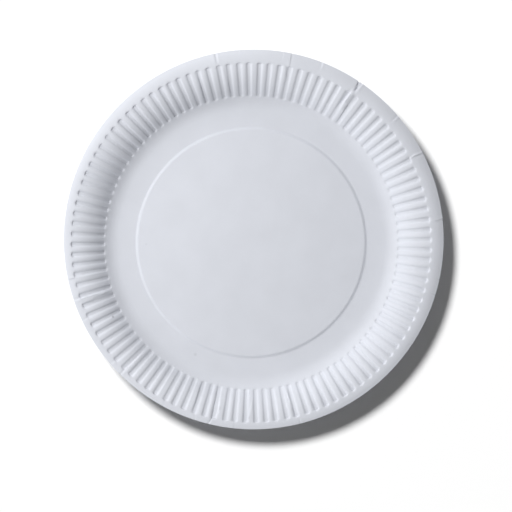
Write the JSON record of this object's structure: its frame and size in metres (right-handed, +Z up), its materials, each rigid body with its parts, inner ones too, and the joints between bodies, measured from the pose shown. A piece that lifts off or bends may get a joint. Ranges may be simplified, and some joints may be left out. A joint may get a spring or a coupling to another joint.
{
  "type": "paper plate",
  "caption": "Round one-piece disposable plate of pressed white paperboard, with a low crowned middle, a radially fluted sloping wall and a smooth rolled-down lip.",
  "frame": {"origin": "below the centre of the round cut edge, on the plane that the foot ring rests on", "axes": "+Z up out of the eating side; the pressing's own axis lies 1.5 mm towards -X and 2 mm towards -Y of the origin, because the blank lay off centre in the die"},
  "size_m": [0.23, 0.23, 0.0144],
  "materials": {
    "paperboard": "uncoated matt white paperboard with a faint fibre grain"
  },
  "bodies": {
    "root": {"plate": "paperboard"}
  },
  "joints": []
}
